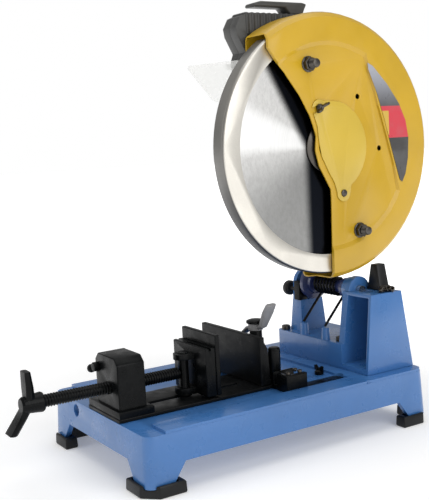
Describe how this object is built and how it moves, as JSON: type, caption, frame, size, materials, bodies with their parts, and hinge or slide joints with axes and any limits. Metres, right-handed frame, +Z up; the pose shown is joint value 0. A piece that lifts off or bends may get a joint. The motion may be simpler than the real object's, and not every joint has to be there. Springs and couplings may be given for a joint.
{
  "type": "metal-cutting chop saw",
  "caption": "Bench chop saw for metal: a spring-raised head swings a guarded steel disc down onto stock held in a screw vise on a cast base.",
  "frame": {"origin": "on the floor under the middle of the saw's footprint box", "axes": "+X to the operator's right (blade side), +Y to the rear, +Z up; the operator stands at -Y"},
  "size_m": [0.3124, 0.6862, 0.64],
  "materials": {
    "blue_paint": "glossy blue enamel on cast iron",
    "yellow_paint": "glossy yellow enamel on pressed steel",
    "black_paint": "semi-gloss black paint on steel",
    "rubber": "matt black moulded rubber",
    "black_plastic": "black glass-filled nylon, lightly textured",
    "steel": "ground and polished",
    "ring_steel": "satin zinc-plated sheet",
    "dark_steel": "black-oxide steel, lightly oiled",
    "grey_casting": "dull grey paint on a casting",
    "aluminium": "as-cast, fine blasted",
    "copper": "varnished copper winding over steel",
    "graphic": "printed film, plain colour bands",
    "clear": "clear polycarbonate sheet",
    "orange_plastic": "moulded orange-red plastic"
  },
  "bodies": {
    "base": {"base_casting": "blue_paint", "foot_front_left": "rubber", "foot_front_right": "rubber", "foot_rear_left": "rubber", "foot_rear_right": "rubber", "vise_bed_plate": "black_paint", "screw_block": "black_paint", "stand_casting": "blue_paint", "stand_bolt_left": "dark_steel", "stand_bolt_right": "dark_steel", "pivot_shaft": "steel", "lock_pin_guide": "black_paint", "torsion_spring": "black_paint", "up_stop": "rubber", "hold_down_chain": "black_paint", "fence_clamp_post": "black_paint", "square_stop_pin": "black_paint", "stop_bracket": "black_paint"},
    "fence": {"fence": "black_paint"},
    "lock_lever": {"fence_lock_lever": "grey_casting"},
    "jaw_carrier": {"jaw_pivot_post": "black_paint"},
    "jaw": {"jaw_block": "black_paint", "jaw_plate": "black_paint"},
    "screw": {"vise_screw": "black_paint", "crank_handle": "black_paint"},
    "nut": {"half_nut": "dark_steel"},
    "nut_lever": {"nut_release_lever": "black_paint"},
    "depth_stop": {"depth_stop_screw": "black_paint"},
    "lock_pin": {"head_lock_pin": "black_plastic"},
    "head": {"swing_arm": "blue_paint", "gearbox_housing": "aluminium", "motor_housing": "black_plastic", "motor_end_cap": "black_plastic", "motor_bearing_front": "steel", "motor_bearing_rear": "steel", "spindle_bearing": "steel", "upper_guard": "yellow_paint", "cover_pivot_rivet": "dark_steel", "guard_bolt_upper": "dark_steel", "guard_bolt_lower": "dark_steel", "graphic_plate": "graphic", "handle_shell_left": "black_plastic", "handle_shell_right": "black_plastic", "carry_bar": "black_plastic"},
    "spindle": {"spindle": "steel", "drive_gear": "dark_steel", "inner_flange": "dark_steel", "blade": "steel", "outer_flange": "dark_steel", "arbor_bolt": "dark_steel"},
    "rotor": {"armature": "copper", "cooling_fan": "black_plastic"},
    "ring": {"lower_ring_guard": "ring_steel"},
    "cover": {"access_cover": "yellow_paint"},
    "wing": {"wing_bolt": "dark_steel"},
    "spindle_lock": {"spindle_lock_button": "black_plastic"},
    "trigger": {"trigger": "orange_plastic"},
    "lock_off": {"lock_off_button": "orange_plastic"},
    "visor": {"chip_visor": "clear"}
  },
  "joints": [
    {"name": "head_swing", "type": "hinge", "parent": "base", "child": "head", "pos_m": [0, 0.21465, 0.202], "axis": [1, 0, 0], "range_deg": [0, 59], "stiffness_Nm_per_rad": 40, "springref_deg": -28.65},
    {"name": "blade_spin", "type": "hinge", "parent": "head", "child": "spindle", "pos_m": [0.08, 0.14865, 0.425], "axis": [1, 0, 0], "continuous": true},
    {"name": "motor_spin", "type": "hinge", "parent": "head", "child": "rotor", "pos_m": [-0.04, 0.21413, 0.44974], "axis": [1, 0, 0], "continuous": true},
    {"name": "ring_retract", "type": "hinge", "parent": "head", "child": "ring", "pos_m": [0.064, 0.14865, 0.425], "axis": [1, 0, 0], "range_deg": [-133, 0]},
    {"name": "cover_swing", "type": "hinge", "parent": "head", "child": "cover", "pos_m": [0.092, 0.16965, 0.356], "axis": [1, 0, 0], "range_deg": [-32, 0]},
    {"name": "wing_turn", "type": "hinge", "parent": "head", "child": "wing", "pos_m": [0.095, 0.12885, 0.4817], "axis": [1, 0, 0], "range_deg": [0, 720]},
    {"name": "spindle_lock_press", "type": "slide", "parent": "head", "child": "spindle_lock", "axis": [0, 1, 0], "range_m": [0, 0.0035], "stiffness_N_per_m": 700, "springref_m": -0.002},
    {"name": "trigger_pull", "type": "hinge", "parent": "head", "child": "trigger", "pos_m": [0.02, 0.10165, 0.598], "axis": [1, 0, 0], "range_deg": [-8, 0], "stiffness_Nm_per_rad": 0.6, "springref_deg": 14.32},
    {"name": "lock_off_press", "type": "slide", "parent": "head", "child": "lock_off", "axis": [1, 0, 0], "range_m": [0, 0.003], "stiffness_N_per_m": 400, "springref_m": -0.002},
    {"name": "visor_tilt", "type": "hinge", "parent": "head", "child": "visor", "pos_m": [0, 0.04765, 0.549], "axis": [1, 0, 0], "range_deg": [-25, 0]},
    {"name": "jaw_slide", "type": "slide", "parent": "base", "child": "jaw_carrier", "axis": [0, 1, 0], "range_m": [-0.045, 0.06]},
    {"name": "jaw_swivel", "type": "hinge", "parent": "jaw_carrier", "child": "jaw", "pos_m": [0.028, -0.08335, 0.12], "axis": [0, 0, 1], "range_deg": [-10, 10]},
    {"name": "screw_turn", "type": "hinge", "parent": "jaw_carrier", "child": "screw", "pos_m": [0.028, -0.21035, 0.1185], "axis": [0, 1, 0], "range_deg": [-4060, 5410]},
    {"name": "nut_lever_turn", "type": "hinge", "parent": "base", "child": "nut_lever", "pos_m": [0.003, -0.20735, 0.144], "axis": [0, 1, 0], "range_deg": [0, 50]},
    {"name": "nut_drop", "type": "slide", "parent": "base", "child": "nut", "axis": [0, 0, -1], "range_m": [0, 0.0036]},
    {"name": "fence_swivel", "type": "hinge", "parent": "base", "child": "fence", "pos_m": [0.022, 0.04865, 0.1], "axis": [0, 0, 1], "range_deg": [-25, 0]},
    {"name": "lock_lever_turn", "type": "hinge", "parent": "base", "child": "lock_lever", "pos_m": [0.022, 0.04865, 0.163], "axis": [0, 0, 1], "range_deg": [-75, 0]},
    {"name": "depth_stop_turn", "type": "hinge", "parent": "base", "child": "depth_stop", "pos_m": [0.057, 0.13865, 0.08], "axis": [0, 0, 1], "range_deg": [0, 720]},
    {"name": "lock_pin_push", "type": "slide", "parent": "base", "child": "lock_pin", "axis": [1, 0, 0], "range_m": [0, 0.0055]}
  ],
  "couplings": [
    {"joint": "motor_spin", "follows": "blade_spin", "ratio": -4.8333},
    {"joint": "ring_retract", "follows": "head_swing", "ratio": -2.25},
    {"joint": "screw_turn", "follows": "jaw_slide", "rad_per_m": 1570.8},
    {"joint": "nut_drop", "follows": "nut_lever_turn", "m_per_rad": 0.0040107}
  ]
}
